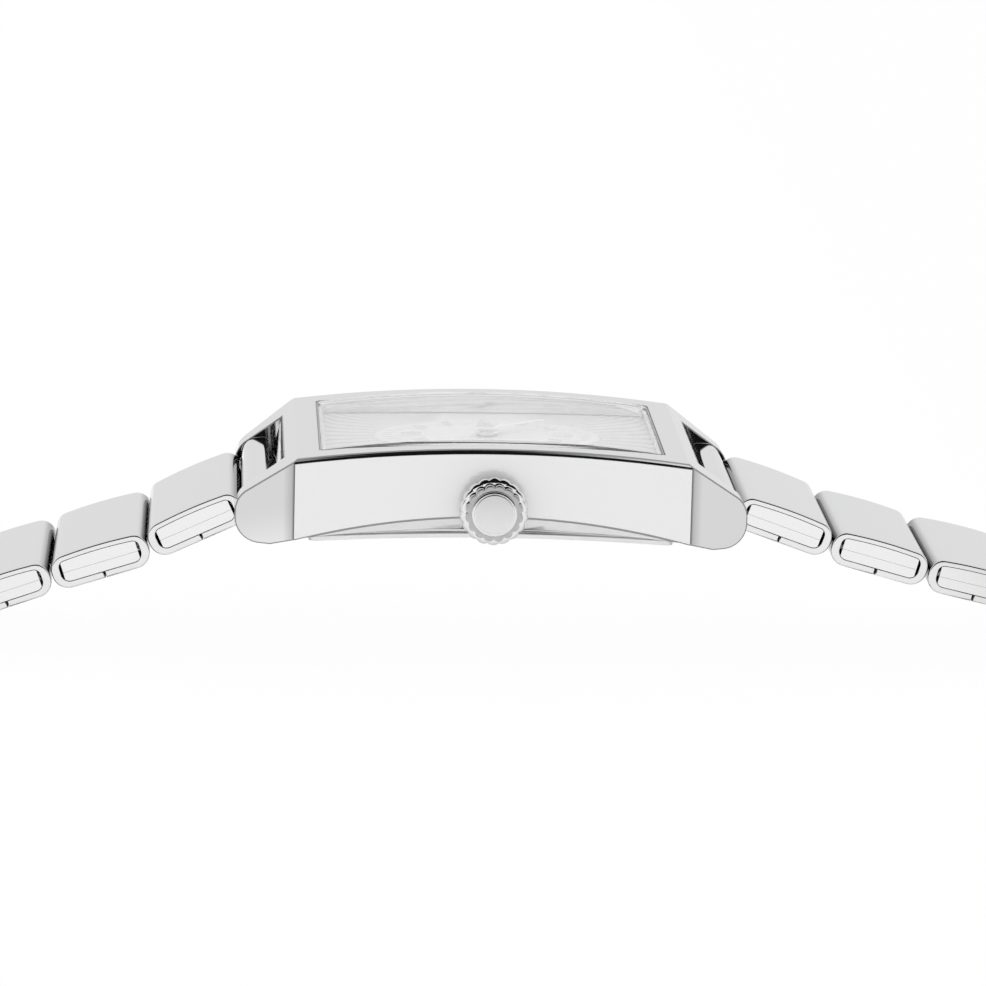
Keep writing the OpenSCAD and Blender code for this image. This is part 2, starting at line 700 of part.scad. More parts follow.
module end_link() color(steel) {
    difference() {
        union() {
            translate([0, bar_y, bar_z]) across(link_w) polygon(rounded(
                [[-end_in, end_top], [end_out, end_top], [end_out, end_top - end_lip], [1.7, -0.1],
                 [1.65, -0.8], [0.6, -1.35], [-1, -0.5], [-end_in, 0.8]],
                [end_in_r, end_out_r, 0.3, 0.2, 0.2, 0, 0, 0], 8));
            translate([0, bar_y, bar_z]) bar_x(bar_r + 0.4, -link_w / 2, link_w / 2);
            tongue(link1[0], link1[1], end_tongue_l, end_tongue_turn);
        }
        translate([0, bar_y, bar_z]) bar_x(bar_r + run + 0.01, -far, far);
    }
}

module end_link_at(half) on_half(half)
    translate([0, bar_y, bar_z]) rotate([-end_tilt(half), 0, 0])
        translate([0, -bar_y, -bar_z]) end_link();

// A link's outline along its length, drawn in from the outside by the given walls
function link_outline(top_in, low_in, end_in, r_top, r_low) =
    let (half = link_l / 2 - end_in,
         top = function (s) link_top - top_in - s * s / (2 * (link_top_r - top_in)),
         n = 6, span = half * 0.7)
    [for (p = rounded(
        concat([[-half, floor_t + low_in], [half, floor_t + low_in], [half, top(half)]],
               [for (i = [0:n]) let (s = span - 2 * span * i / n) [s, top(s)]],
               [[-half, top(half)]]),
        concat([r_low, r_low, r_top], [for (i = [0:n]) 0], [r_top]), 10))
     p + [link_mid, 0]];

module link_shell() color(polished) difference() {
    across(link_w) polygon(link_outline(0, 0, 0, top_corner_r, end_r - 0.03));
    across(link_w + 1) polygon(link_outline(wall_top, wall_low, wall_end, 0.6, 0.8));
    // Seam of the rolled sheet
    across(link_w + 1) translate([seam_s, floor_t - 1]) square([seam_w, wall_low + 1.1]);
    // Slots for the tongues, the near one tall enough for the joint's travel
    translate([-slot_w / 2, -end_r - 1, -1]) cube([slot_w, end_r + 0.6, 1.55]);
    translate([-slot_w / 2, link_far - wall_end - 0.3, -tongue_t / 2 - 0.05])
        cube([slot_w, 2, tongue_t + 0.1]);
}

// Two stacked strips inside the shell, with the tongue and the cross pin
module link_core() {
    s0 = -end_r + wall_end + core_cut;
    s1 = link_far - wall_end - core_cut;
    module strip(t0, t1) difference() {
        across(link_w - 0.04) intersection() {
            polygon(link_outline(wall_top + 0.04, wall_low + 0.03, wall_end + 0.03, 0.57, 0.77));
            translate([s0, t0]) square([s1 - s0, t1 - t0]);
        }
        bar_x(pin_r + fit, -tongue_w / 2 - 1.2, tongue_w / 2 + 1.2);
        translate([-slot_w / 2, -2, -2]) cube([slot_w, 3.2, 4]);
    }
    color(steel) difference() {
        strip(strip_joint + strip_gap, 2);
        translate([-slot_w / 2, link_far - wall_end - 2.4, -2]) cube([slot_w, 4, 4]);
    }
    color(steel) union() {
        strip(-2, strip_joint - strip_gap);
        tongue(link_pitch, 0, link_pitch - s1 + 1.5);
    }
    color(steel) bar_x(pin_r, -tongue_w / 2 - 1.1, tongue_w / 2 + 1.1);
}

// Clasp

cover_pin = [1.6, 1.35];
cover_pin_r = 0.28;
ear_x = tongue_w / 2 + 0.6;

// The rounded, slotted block by which the clasp's halves hang on the last links
module hinge_block(length, w) difference() {
    across(w) polygon(rounded(
        [[-end_r, floor_t], [length, floor_t], [length, 0.6], [0.9, 0.6], [0.5, end_r], [-end_r, end_r]],
        [end_r - 0.03, 0, 0, 0, 0.2, end_r - 0.05], 10));
    translate([-slot_w / 2, -end_r - 1, -1]) cube([slot_w, end_r + 1.9, 3]);
    bar_x(pin_r + fit, -tongue_w / 2 - 1.2, tongue_w / 2 + 1.2);
}

module clasp_base() color(steel) at_pin(12, link_count) {
    floor_top = floor_t + clasp_t;
    difference() {
        union() {
            hinge_block(1, link_w);
            hinge_block(3, base_w);
            across(base_w) translate([2, floor_t]) square([base_l - 2, clasp_t]);
            // Hook for the catch
            across(6) polygon([[base_l - 4.6, floor_top - eps], [base_l - 3.8, floor_top - eps],
                               [base_l - 3.8, 0.1], [base_l - 2.6, 0.1], [base_l - 2.6, 0.6],
                               [base_l - 4.6, 0.6]]);
            // Ears for the cover's pin
            for (s = [-1, 1]) across(1.6, s * (ear_x + 0.9)) union() {
                translate([cover_pin[0] - 0.5, 0.5]) square([1, cover_pin[1] - 0.5]);
                translate(cover_pin) circle(0.5);
            }
        }
        translate([0, cover_pin[0], cover_pin[1]]) bar_x(cover_pin_r + fit, -far, far);
    }
}

module clasp_cover() color(polished) at_pin(12, link_count) {
    t0 = cover_pin[1] - 0.35;
    t1 = cover_pin[1] + 0.35;
    s0 = cover_pin[0];
    s1 = base_l - 0.3;
    w = base_w + 1.6;
    difference() {
        union() {
            across(2 * ear_x - 0.2) polygon([[s0, t0], [s1, t0], [s1, t1], [s0, t1]]);
            across(w) polygon(rounded([[s0 + 0.85, t0], [s1, t0], [s1, t1], [s0 + 0.85, t1]],
                                      [0, 0, 0.3, 0.3], 6));
            translate([0, cover_pin[0], cover_pin[1]]) bar_x(0.5, -ear_x + 0.1, ear_x - 0.1);
            // Skirts beside the base
            for (s = [-1, 1]) across(0.6, s * (w / 2 - 0.3)) polygon(rounded(
                [[s0 + 1.2, -0.5], [s1, -0.5], [s1, t1 - 0.1], [s0 + 1.2, t1 - 0.1]], [0.6, 0.6, 0, 0], 6));
        }
        translate([0, cover_pin[0], cover_pin[1]]) bar_x(cover_pin_r + run, -far, far);
    }
}

// Cross pin of the last link and pin of the cover, both held by the clasp base
module clasp_pins() color(steel) at_pin(12, link_count) {
    bar_x(pin_r, -tongue_w / 2 - 1.1, tongue_w / 2 + 1.1);
    translate([0, cover_pin[0], cover_pin[1]]) bar_x(cover_pin_r, -ear_x - 1.6, ear_x + 1.6);
}

module catch_frame() color(steel) at_pin(6, link_count) {
    difference() {
        union() {
            hinge_block(1.4, link_w);
            across(catch_w) translate([1, floor_t]) square([catch_l - 1, clasp_t]);
        }
        translate([-4.2, catch_l - 4.6, floor_t - 1]) cube([8.4, 3.5, 3]);
    }
    bar_x(pin_r, -tongue_w / 2 - 1.1, tongue_w / 2 + 1.1);
}

case_body();
crystal();
crystal_gasket();
dial();
hour_markers();
hour_hand();
minute_hand();
cannon_pinion();
minute_wheel();
hour_wheel();
movement_ring();
main_plate();
train_bridge();
coil();
circuit_board();
battery();
battery_clamp();
setting_pinion();
setting_lever();
stem();
crown();
crown_gasket();
crown_tube();
case_back();
case_back_gasket();
on_half(12) spring_bar();  // spring_bar_12
on_half(6) spring_bar();  // spring_bar_6
end_link_at(12);  // end_link_12
end_link_at(6);  // end_link_6
for (half = [12, 6], i = [1:link_count]) {
    at_pin(half, i - 1, slope(half, i - 1)) link_shell();
    at_pin(half, i - 1, slope(half, i - 1)) link_core();
}
clasp_base();
clasp_cover();
clasp_pins();
catch_frame();
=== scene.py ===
import json
import math

import bmesh
import bpy
import numpy as np
from mathutils import Matrix, Vector


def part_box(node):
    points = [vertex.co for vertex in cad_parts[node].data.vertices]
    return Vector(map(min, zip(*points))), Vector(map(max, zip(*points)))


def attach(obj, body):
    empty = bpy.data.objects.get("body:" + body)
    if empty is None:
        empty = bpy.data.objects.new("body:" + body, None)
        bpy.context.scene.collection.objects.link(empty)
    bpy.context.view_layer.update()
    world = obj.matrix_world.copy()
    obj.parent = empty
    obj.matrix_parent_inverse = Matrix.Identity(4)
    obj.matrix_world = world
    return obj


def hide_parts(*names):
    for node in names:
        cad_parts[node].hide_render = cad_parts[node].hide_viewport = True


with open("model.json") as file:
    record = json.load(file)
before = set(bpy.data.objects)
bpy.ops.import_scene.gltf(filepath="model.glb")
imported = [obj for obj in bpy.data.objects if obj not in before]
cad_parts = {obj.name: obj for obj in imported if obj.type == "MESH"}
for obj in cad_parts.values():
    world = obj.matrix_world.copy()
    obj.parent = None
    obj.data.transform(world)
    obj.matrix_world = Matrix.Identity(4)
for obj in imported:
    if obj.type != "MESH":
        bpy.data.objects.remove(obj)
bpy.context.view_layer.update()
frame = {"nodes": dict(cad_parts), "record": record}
nodes = frame["nodes"]
bodyOf = {name: body for body, names in frame["record"]["behaviour"]["bodies"].items()
          for name in names}
mm = 0.001
halves = (12, 6)               # the bracelet's halves, by the hour they start at
linkNumbers = range(1, 7)
print("frame loaded:", len(nodes), "parts")


# Finishes. Each one is a short node tree; its noise goes by Object coordinates.
noiseRange = (0.3, 0.7)        # where most of a noise node's values lie


def newMaterial(name):
    material = bpy.data.materials.new(name)
    material.use_nodes = True
    return material, material.node_tree, material.node_tree.nodes["Principled BSDF"]


def noiseOn(tree, stretch, scale, detail=3):
    # noise over the piece, stretched along the axes where stretch is small
    spot = tree.nodes.new("ShaderNodeTexCoord")
    mapping = tree.nodes.new("ShaderNodeMapping")
    mapping.inputs["Scale"].default_value = stretch
    noise = tree.nodes.new("ShaderNodeTexNoise")
    noise.inputs["Scale"].default_value = scale
    noise.inputs["Detail"].default_value = detail
    tree.links.new(spot.outputs["Object"], mapping.inputs["Vector"])
    tree.links.new(mapping.outputs["Vector"], noise.inputs["Vector"])
    return noise.outputs["Fac"]


def spread(tree, source, low, high):
    # noise brought to the range from low to high
    between = tree.nodes.new("ShaderNodeMapRange")
    between.inputs["From Min"].default_value = noiseRange[0]
    between.inputs["From Max"].default_value = noiseRange[1]
    between.inputs["To Min"].default_value = low
    between.inputs["To Max"].default_value = high
    tree.links.new(source, between.inputs["Value"])
    return between.outputs["Result"]


def bumpFrom(tree, shader, source, depth):
    # the source, from 0 to 1, raises the surface by up to the depth
    bump = tree.nodes.new("ShaderNodeBump")
    bump.inputs["Strength"].default_value = 1.0
    bump.inputs["Distance"].default_value = depth
    tree.links.new(source, bump.inputs["Height"])
    tree.links.new(bump.outputs["Normal"], shader.inputs["Normal"])


def colourFromMesh(tree, shader):
    # the base colour comes from the mesh's tone attribute, which holds painted shade and
    # highlights as well as print
    tone = tree.nodes.new("ShaderNodeAttribute")
    tone.attribute_name = "tone"
    tree.links.new(tone.outputs["Color"], shader.inputs["Base Color"])


def steelFinish(name, colour, roughness, uneven=0.015, grain=(1, 1, 1), scale=400, bump=0.0,
                toned=False, metal=1.0):
    # bare metal: grain moves the roughness a little and can raise fine lines; a toned one takes
    # its colour from the mesh, and one with less metal mirrors less
    material, tree, shader = newMaterial(name)
    shader.inputs["Metallic"].default_value = metal
    shader.inputs["Base Color"].default_value = (*colour, 1)
    lines = noiseOn(tree, grain, scale)
    tree.links.new(spread(tree, lines, roughness - uneven, roughness + uneven),
                   shader.inputs["Roughness"])
    if bump > 0:
        bumpFrom(tree, shader, lines, bump)
    if toned:
        colourFromMesh(tree, shader)
    return material


def mathNode(tree, operation, first, second=None, third=None):
    # one Math node; each of its inputs is a number or another node's output
    node = tree.nodes.new("ShaderNodeMath")
    node.operation = operation
    for socket, value in zip(node.inputs, (first, second, third)):
        if isinstance(value, (int, float)):
            socket.default_value = value
        elif value is not None:
            tree.links.new(value, socket)
    return node.outputs["Value"]


def fade(tree, source, start, end, low, high, kind="SMOOTHSTEP"):
    # a step from low to high while the source goes from start to end
    step = tree.nodes.new("ShaderNodeMapRange")
    step.interpolation_type = kind
    for key, value in (("From Min", start), ("From Max", end), ("To Min", low), ("To Max", high)):
        step.inputs[key].default_value = value
    tree.links.new(source, step.inputs["Value"])
    return step.outputs["Result"]


def axesOf(tree, source):
    # a place or direction, split into its X, Y and Z
    spot = tree.nodes.new("ShaderNodeTexCoord")
    split = tree.nodes.new("ShaderNodeSeparateXYZ")
    tree.links.new(spot.outputs[source], split.inputs["Vector"])
    return split.outputs


def mixOut(tree, share, first, second, output="Material Output"):
    # two shaders, the second one by its share, led to the tree's output
    mix = tree.nodes.new("ShaderNodeMixShader")
    for socket, source in zip(mix.inputs, (share, first, second)):
        tree.links.new(source, socket)
    tree.links.new(mix.outputs["Shader"], tree.nodes[output].inputs["Surface"])


def lugShadeFinish(name, steel, stops):
    # polished steel with painted shade: its tone is darkest next to the lug's corner with the
    # flank and grows with the distance from the case's middle; stops are (y in mm, tone)
    material = steelFinish(name, (steel, steel, steel), roughness=0.05, uneven=0.01)
    tree = material.node_tree
    beside = mathNode(tree, "ABSOLUTE", axesOf(tree, "Object")["Y"])
    start, end = stops[0][0], stops[-1][0]
    share = fade(tree, beside, start * mm, end * mm, 0, 1, "LINEAR")
    ramp = tree.nodes.new("ShaderNodeValToRGB")
    elements = ramp.color_ramp.elements
    for number, (y, tone) in enumerate(stops):
        element = elements[number] if number < 2 else elements.new(1.0)
        element.position = (y - start) / (end - start)
        element.color = (tone * steel, tone * steel, tone * steel, 1)
    tree.links.new(share, ramp.inputs["Fac"])
    tree.links.new(ramp.outputs["Color"], tree.nodes["Principled BSDF"].inputs["Base Color"])
    return material


def coatedFinish(name, dark, light, roughness, scale=900):
    # plastic, rubber or lacquer: colour drifts between two near tones
    material, tree, shader = newMaterial(name)
    shader.inputs["Roughness"].default_value = roughness
    cloud = noiseOn(tree, (1, 1, 1), scale, 4)
    tones = tree.nodes.new("ShaderNodeMix")
    tones.data_type = "RGBA"
    tones.inputs["A"].default_value = (*dark, 1)
    tones.inputs["B"].default_value = (*light, 1)
    tree.links.new(spread(tree, cloud, 0, 1), tones.inputs["Factor"])
    tree.links.new(tones.outputs["Result"], shader.inputs["Base Color"])
    return material


def crystalFinish(name):
    # clear glass, through which light also falls on the dial
    material, tree, shader = newMaterial(name)
    shader.inputs["Base Color"].default_value = (1, 1, 1, 1)
    shader.inputs["Roughness"].default_value = 0.0
    shader.inputs["IOR"].default_value = 1.5
    shader.inputs["Specular IOR Level"].default_value = 0.3
    shader.inputs["Transmission Weight"].default_value = 1.0
    clear = tree.nodes.new("ShaderNodeBsdfTransparent")
    path = tree.nodes.new("ShaderNodeLightPath")
    mixOut(tree, path.outputs["Is Shadow Ray"], shader.outputs["BSDF"], clear.outputs["BSDF"])
    return material


def dialFinish(name):
    # silvered lacquer, darker where the mesh's tone is low: the printed ticks and the painted
    # shade in the flutes' hollows
    material, tree, shader = newMaterial(name)
    shader.inputs["Roughness"].default_value = 0.32
    colourFromMesh(tree, shader)
    return material


finishes = {
    "polished": steelFinish("polishedSteel", (0.81, 0.81, 0.815), 0.045, 0.01),
    "flank": steelFinish("flankSteel", (0.85, 0.85, 0.855), 0.20, 0.02, (600, 20, 600), 12,
                         metal=0.3),
    # paler steel as painted light on the downward slants, against the shade beneath the case
    "slant": steelFinish("slantSteelLightened", (0.94, 0.94, 0.945), 0.30, 0.02, (600, 20, 600), 12,
                         metal=0.3),
    # dark steel as painted shade on the walls between the lugs
    "recess": steelFinish("recessShadeSteel", (0.30, 0.30, 0.30), 0.25, 0.03),
    # painted shade along the lugs' sides next to their corner with the flank
    "lugSide": lugShadeFinish("lugSteelShaded", 0.82,
                         ((17.30, 0.12), (17.40, 0.35), (17.55, 0.72), (18.3, 1.0))),
    # dark steel as a painted dark reflection along the rounded edges
    "edge": steelFinish("edgePaintedDark", (0.34, 0.34, 0.34), 0.12),
    # the shells' colour comes from the mesh, which holds the painted shade at their ends
    "rolled": steelFinish("rolledSteel", (0.82, 0.82, 0.825), 0.09, 0.02, (600, 40, 600), 12,
                          toned=True),
    "strip": steelFinish("stripSteel", (0.87, 0.87, 0.87), 0.14, 0.03, (40, 600, 600), 12),
    "satin": steelFinish("satinSteel", (0.80, 0.80, 0.805), 0.22, 0.04, (40, 600, 600), 12),
    "brushed": steelFinish("brushedSteel", (0.88, 0.88, 0.885), 0.32, 0.04, (600, 30, 600), 12),
    "blasted": steelFinish("blastedSteel", (0.84, 0.84, 0.84), 0.34, 0.05, (1, 1, 1), 9000,
                           0.00001),
    "etched": steelFinish("etchedSteel", (0.54, 0.54, 0.54), 0.30, 0.04, (1, 1, 1), 3000),
    # dark steel as painted shade in the gap of each link's seam
    "seam": steelFinish("seamGapShade", (0.14, 0.14, 0.14), 0.5),
    "glass": crystalFinish("crystalGlass"),
    "paleSeal": coatedFinish("paleSeal", (0.50, 0.50, 0.49), (0.56, 0.56, 0.55), 0.6),
    "blackSeal": coatedFinish("blackSeal", (0.015, 0.015, 0.015), (0.03, 0.03, 0.03), 0.5),
    "dial": dialFinish("silveredDial"),
    "hands": steelFinish("polishedHands", (0.86, 0.865, 0.87), 0.08),
    "gilt": steelFinish("giltBrass", (0.83, 0.66, 0.36), 0.28, 0.06, (1, 1, 1), 2500),
    "nickel": steelFinish("nickelledPlate", (0.74, 0.70, 0.60), 0.30, 0.08, (900, 60, 900), 8),
    "whitePlastic": coatedFinish("whitePlastic", (0.80, 0.80, 0.78), (0.85, 0.85, 0.83), 0.5),
    "copper": steelFinish("copperWire", (0.72, 0.40, 0.20), 0.33, 0.08, (1500, 40, 40), 6,
                          0.00002),
    "board": coatedFinish("greenBoard", (0.06, 0.27, 0.12), (0.10, 0.36, 0.17), 0.45, 1500),
}
finishOf = {
    "polished": ["stem"],
    "satin": ["battery", "battery_clamp", "setting_lever", "crown_tube",
              "spring_bar_12", "spring_bar_6", "clasp_pins"],
    "strip": [f"link_{half}_{number}_core" for half in halves for number in linkNumbers],
    "glass": ["crystal"],
    "paleSeal": ["crystal_gasket"],
    "blackSeal": ["crown_gasket", "case_back_gasket"],
    "gilt": ["minute_wheel", "setting_pinion"],
    "hands": ["cannon_pinion", "hour_wheel"],
    "nickel": ["main_plate", "train_bridge"],
    "whitePlastic": ["movement_ring"],
    "copper": ["coil"],
    "board": ["circuit_board"],
}
for finish, names in finishOf.items():
    for name in names:
        nodes[name].data.materials.clear()
        nodes[name].data.materials.append(finishes[finish])
print("finishes set")


# Pieces. A part from the frame keeps its faces, and only its outer edges are rounded.
facets = {
    "merge": 0.01 * mm,        # corners nearer than this are one
    "flat": 0.15,              # degrees between faces that are one flat face
    "fold": 25,                # degrees from which a fold is an edge
    "gridMerge": 0.0005 * mm,  # the same as merge, for surfaces made here
}


def place(name, mesh, finish, slotName, *replaced):
    # links a piece, puts it on the body of the parts it stands for, and hides those
    piece = bpy.data.objects.new(name, mesh)
    bpy.context.scene.collection.objects.link(piece)
    mesh.materials.clear()
    mesh.materials.append(finishes[finish])
    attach(piece, bodyOf[replaced[0]])
    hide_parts(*replaced)
    return piece


def smoothBelow(mesh, degrees):
    mesh.polygons.foreach_set("use_smooth", [True] * len(mesh.polygons))
    mesh.set_sharp_from_angle(angle=math.radians(degrees))


def softened(nodeName, name, finish, slotName, width, weigh, segments=3):
    # a copy of a part with its outer edges rounded: weigh(middle, normals) gives each edge's
    # share of the width
    mesh = nodes[nodeName].data.copy()
    mesh.name = name
    solid = bmesh.new()
    solid.from_mesh(mesh)
    bmesh.ops.remove_doubles(solid, verts=solid.verts, dist=facets["merge"])
    bmesh.ops.dissolve_limit(solid, angle_limit=math.radians(facets["flat"]), verts=solid.verts,
                             edges=solid.edges)
    share = solid.edges.layers.float.new("bevel_weight_edge")
    fold = math.radians(facets["fold"])
    rounded = 0
    for edge in solid.edges:
        if len(edge.link_faces) == 2 and edge.is_convex and edge.calc_face_angle(0) > fold:
            middle = (edge.verts[0].co + edge.verts[1].co) / 2
            edge[share] = weigh(middle, [face.normal for face in edge.link_faces])
            rounded += edge[share] > 0
    solid.to_mesh(mesh)
    solid.free()
    mesh.normals_split_custom_set([(0, 0, 0)] * len(mesh.loops))
    smoothBelow(mesh, facets["fold"])
    piece = place(name, mesh, finish, slotName, nodeName)
    bevel = piece.modifiers.new("edges", "BEVEL")
    bevel.limit_method = "WEIGHT"
    bevel.width = width
    bevel.segments = segments
    bevel.use_clamp_overlap = False
    bevel.harden_normals = True
    print(name, "rounded edges:", rounded)
    return piece


def everyEdge(middle, normals):
    # the whole radius on each outer edge
    return 1.0


def surfaceMesh(name, points, wrapRows=False, wrapColumns=False, sharpAbove=40):
    # joins a grid of points into four-sided faces; a wrapped side closes on itself, and points
    # that lie in one place are merged
    rows, columns = points.shape[:2]
    index = np.arange(rows * columns).reshape(rows, columns)
    if wrapRows:
        index = np.vstack([index, index[:1]])
    if wrapColumns:
        index = np.hstack([index, index[:, :1]])
    corners = (index[:-1, :-1], index[1:, :-1], index[1:, 1:], index[:-1, 1:])
    faces = np.stack(corners, axis=-1).reshape(-1, 4)
    mesh = bpy.data.meshes.new(name)
    mesh.vertices.add(rows * columns)
    mesh.vertices.foreach_set("co", points.reshape(-1).astype(np.float32))
    mesh.loops.add(faces.size)
    mesh.loops.foreach_set("vertex_index", faces.reshape(-1).astype(np.int32))
    mesh.polygons.add(len(faces))
    mesh.polygons.foreach_set("loop_start", np.arange(0, faces.size, 4, dtype=np.int32))
    mesh.update(calc_edges=True)
    solid = bmesh.new()
    solid.from_mesh(mesh)
    bmesh.ops.remove_doubles(solid, verts=solid.verts, dist=facets["gridMerge"])
    bmesh.ops.recalc_face_normals(solid, faces=solid.faces)
    solid.to_mesh(mesh)
    solid.free()
    mesh.validate()
    smoothBelow(mesh, sharpAbove)
    return mesh


# Case: its outer edges are broken by a small radius, the window's by less
caseEdges = {
    "radius": 0.13 * mm,
    "windowShare": 0.4,
    "windowAbove": 7 * mm,
    "bodyHalf": (11.3 * mm, 15.3 * mm),  # edges farther out than this are the outer ones
    "foldNormal": (0.3, 0.2),            # top faces: least upward and most sideways normal
}
caseFaces = {
    # in the order of the piece's materials; "edge" is for the rounded edges, dark steel as a
    # painted dark reflection along them
    "names": ("polished", "flank", "slant", "recess", "edge", "lugSide"),
    "square": 0.999,                     # a normal this near 1 lies along its axis
    "flankFrom": 13.9 * mm,
    "slantFrom": 11.9 * mm,
    "slantOut": (0.3, 0.9),
    "slantDown": -0.3,
    "wallAt": 18.25 * mm,
    "wallWithin": 0.05 * mm,
    "lugFrom": 17.4 * mm,
    "lugOut": 0.8,
    "lugUpright": 0.1,
}
backEdges = {"radius": 0.06 * mm, "below": 1.4 * mm}


def caseShare(middle, normals):
    # the folds across the top stay sharp
    up, sideways = caseEdges["foldNormal"]
    if all(normal.z > up and abs(normal.x) < sideways for normal in normals):
        return 0.0
    outX, outY = caseEdges["bodyHalf"]
    if abs(middle.x) > outX or abs(middle.y) > outY:
        return 1.0
    return caseEdges["windowShare"] if middle.z > caseEdges["windowAbove"] else 0.0


def caseFinish(face, limits):
    # the flanks, the slanting faces of the scallops, the walls between the lugs and the lugs'
    # sides each have their own finish: the slants are paler steel as painted light, the walls get
    # painted shade and the lugs' sides painted shade by their corners
    square = limits["square"]
    outward = face.normal.x * math.copysign(1, face.center.x)
    x, y = abs(face.center.x), abs(face.center.y)
    if outward > square and x > limits["flankFrom"]:
        return "flank"
    slanting = limits["slantOut"][0] < outward < limits["slantOut"][1]
    if slanting and face.normal.z < limits["slantDown"] and x > limits["slantFrom"]:
        return "slant"
    if abs(face.normal.y) > square and abs(y - limits["wallAt"]) < limits["wallWithin"]:
        return "recess"
    upright = abs(face.normal.z) < limits["lugUpright"]
    if limits["lugOut"] < outward < square and upright and y > limits["lugFrom"]:
        return "lugSide"
    return "polished"


def backShare(middle, normals):
    # the edges of the plate and its panel, but not those of the rim inside the case
    return 1.0 if middle.z < backEdges["below"] else 0.0


caseBody = softened("case_body", "caseBody", "polished", "steel_polished", caseEdges["radius"],
                    caseShare)
for finish in caseFaces["names"][1:]:
    caseBody.data.materials.append(finishes[finish])
caseBody.modifiers["edges"].material = caseFaces["names"].index("edge")
for face in caseBody.data.polygons:
    face.material_index = caseFaces["names"].index(caseFinish(face, caseFaces))
softened("case_back", "caseBack", "brushed", "steel_satin", backEdges["radius"], backShare, 2)


# Bracelet: the shells' rims are rounded where the sheet was cut
rimEdges = {
    "radius": 0.17 * mm,
    "endRadius": 0.05 * mm,              # on the end links
    "innerShare": 0.3,
    "linkSide": 8.99 * mm,               # the rims' edges lie farther out than this
}
linkShape = {
    "seam": (2.8 * mm, 3.0 * mm),        # from the link's own pin, as the ends are
    "seamNormal": 0.99,                  # a face of the seam looks along the link
    "ends": (-1.45 * mm, 7.4 * mm),
    # painted shade: the shells darken towards both ends, where the gap to the next link is
    "shadeLength": 0.7 * mm,                    # length over which the tone falls to its painted-shade low at the link's ends
    "shadeTone": 0.12,
    "rimNormal": 0.5,                    # a face of the rim looks sideways
    "steel": (0.82, 0.82, 0.825),
    "lastJoint": {12: "clasp_base_turn", 6: "catch_turn"},
}
claspEdges = {"radius": 0.1 * mm, "coverRadius": 0.15 * mm}
pinOf = {joint["name"]: joint.get("pos_m") for joint in frame["record"]["behaviour"]["joints"]}


def linkMiddle(name):
    low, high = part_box(name)
    return (Vector(low) + Vector(high)) / 2


def rimShare(centre):
    # the rim's outer edge has the whole radius, its inner edge less
    def weigh(middle, normals):
        if abs(middle.x) < rimEdges["linkSide"]:
            return 0.0
        across = min(normals, key=lambda normal: abs(normal.x))
        return 1.0 if across.dot(middle - centre) > 0 else rimEdges["innerShare"]
    return weigh


def sideShare(middle, normals):
    # the edges on the two sides of the bracelet
    return 1.0 if abs(middle.x) > rimEdges["linkSide"] else 0.0


def linkPins(half, number):
    # where a link's own pin lies, and the direction to the next one
    last = number == linkNumbers[-1]
    following = linkShape["lastJoint"][half] if last else f"link_{half}_{number + 1}_turn"
    start = Vector(pinOf[f"link_{half}_{number}_turn"])
    return start, (Vector(pinOf[following]) - start).normalized()


def paintSeamShade(piece, start, along):
    # the two faces of the gap in the rolled sheet, found by their place along the link, get dark
    # steel as painted shade in the gap
    piece.data.materials.append(finishes["seam"])
    gapStart, gapEnd = linkShape["seam"]
    for face in piece.data.polygons:
        inGap = gapStart < (face.center - start).dot(along) < gapEnd
        if inGap and abs(face.normal.dot(along)) > linkShape["seamNormal"]:
            face.material_index = 1


def shadeLinkEnds(mesh, start, along):
    # painted shade: the sheet's colour darkens where it bends down into the gap to the next link;
    # the cut rims keep the full tone
    where = np.empty(len(mesh.vertices) * 3)
    mesh.vertices.foreach_get("co", where)
    corners = np.empty(len(mesh.loops), dtype=np.int32)
    mesh.loops.foreach_get("vertex_index", corners)
    normals = np.empty(len(mesh.polygons) * 3)
    mesh.polygons.foreach_get("normal", normals)
    sides = np.empty(len(mesh.polygons), dtype=np.int32)
    mesh.polygons.foreach_get("loop_total", sides)
    s = (where.reshape(-1, 3)[corners] - np.array(start)) @ np.array(along)
    inward = np.minimum(s - linkShape["ends"][0], linkShape["ends"][1] - s) / linkShape["shadeLength"]
    step = np.clip(inward, 0, 1)
    # a smooth step: three times the square less twice the cube
    tone = linkShape["shadeTone"] + (1 - linkShape["shadeTone"]) * (3 * step ** 2 - 2 * step ** 3)
    rim = np.repeat(np.abs(normals.reshape(-1, 3)[:, 0]) > linkShape["rimNormal"], sides)
    tone = np.where(rim, 1.0, tone)[:, None] * np.array(linkShape["steel"])
    colour = np.hstack([tone, np.ones((len(tone), 1))]).astype(np.float32)
    layer = mesh.attributes.new("tone", "FLOAT_COLOR", "CORNER")
    layer.data.foreach_set("color", colour.reshape(-1))


for half in halves:
    for number in linkNumbers:
        shell = f"link_{half}_{number}_shell"
        rolled = softened(shell, f"linkShell{half}x{number}", "rolled", "steel_polished",
                          rimEdges["radius"], rimShare(linkMiddle(shell)))
        start, along = linkPins(half, number)
        paintSeamShade(rolled, start, along)
        shadeLinkEnds(rolled.data, start, along)
    softened(f"end_link_{half}", f"endLink{half}", "polished", "steel_satin",
             rimEdges["endRadius"], sideShare)
softened("clasp_base", "claspBase", "satin", "steel_satin", claspEdges["radius"], everyEdge, 2)
softened("clasp_cover", "claspCover", "polished", "steel_polished", claspEdges["coverRadius"],
         everyEdge)
softened("catch_frame", "catchFrame", "satin", "steel_satin", claspEdges["radius"], everyEdge, 2)
print("case and bracelet edges rounded")


